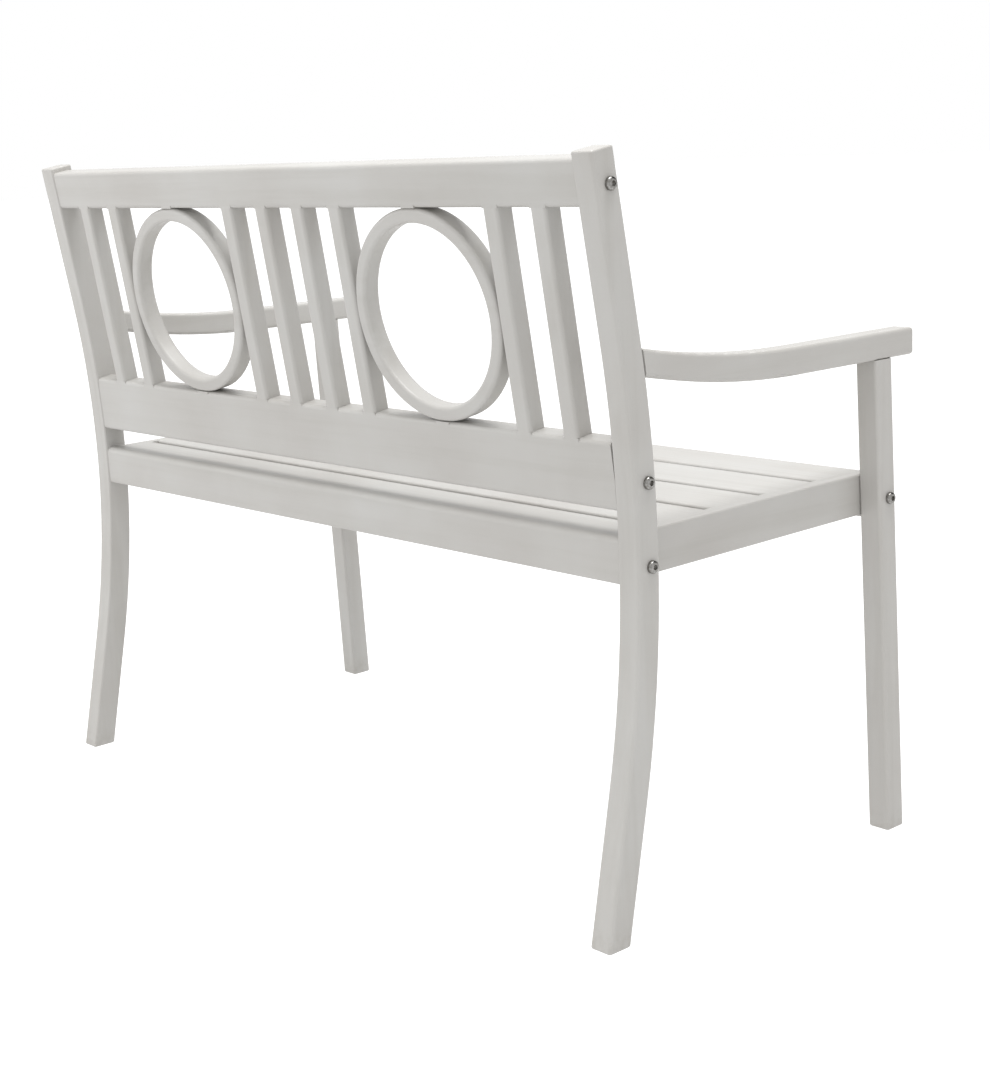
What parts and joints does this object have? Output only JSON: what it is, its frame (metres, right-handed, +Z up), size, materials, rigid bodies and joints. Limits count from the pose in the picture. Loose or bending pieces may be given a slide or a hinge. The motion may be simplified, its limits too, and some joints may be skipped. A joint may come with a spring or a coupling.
{
  "type": "garden bench",
  "caption": "Painted timber garden bench with slatted seat, slatted back with round rings, curved armrests and sabre back legs.",
  "frame": {"origin": "on the ground, at the middle of the footprint", "axes": "+X towards the sitter's left along the bench, +Y towards the back, +Z up; the bench faces -Y"},
  "size_m": [1.111, 0.5481, 0.8566],
  "materials": {
    "white_painted_timber": "semi-gloss off-white paint over softwood or rubberwood, faint grain and brush marks",
    "bright_steel": "bright zinc or stainless button heads",
    "zinc_steel": "zinc-plated steel, dull",
    "bare_beech": "bare fluted beech dowel"
  },
  "bodies": {
    "root": {"back_slat_1": "white_painted_timber", "back_slat_2": "white_painted_timber", "back_slat_3": "white_painted_timber", "back_slat_4": "white_painted_timber", "back_slat_5": "white_painted_timber", "back_slat_6": "white_painted_timber", "back_slat_7": "white_painted_timber", "back_slat_8": "white_painted_timber", "barrel_nuts": "zinc_steel", "centre_seat_bearer": "white_painted_timber", "frame_bolts": "bright_steel", "front_seat_rail": "white_painted_timber", "left_armrest": "white_painted_timber", "left_back_post": "white_painted_timber", "left_back_ring": "white_painted_timber", "left_front_leg": "white_painted_timber", "left_seat_cleat": "white_painted_timber", "left_seat_side_rail": "white_painted_timber", "lower_back_rail": "white_painted_timber", "rear_seat_rail": "white_painted_timber", "right_armrest": "white_painted_timber", "right_back_post": "white_painted_timber", "right_back_ring": "white_painted_timber", "right_front_leg": "white_painted_timber", "right_seat_cleat": "white_painted_timber", "right_seat_side_rail": "white_painted_timber", "ring_dowels": "bare_beech", "seat_board_1": "white_painted_timber", "seat_board_2": "white_painted_timber", "seat_board_3": "white_painted_timber", "seat_board_4": "white_painted_timber", "seat_board_5": "white_painted_timber", "seat_frame_dowels": "bare_beech", "seat_screws": "zinc_steel", "top_back_rail": "white_painted_timber"}
  },
  "joints": []
}
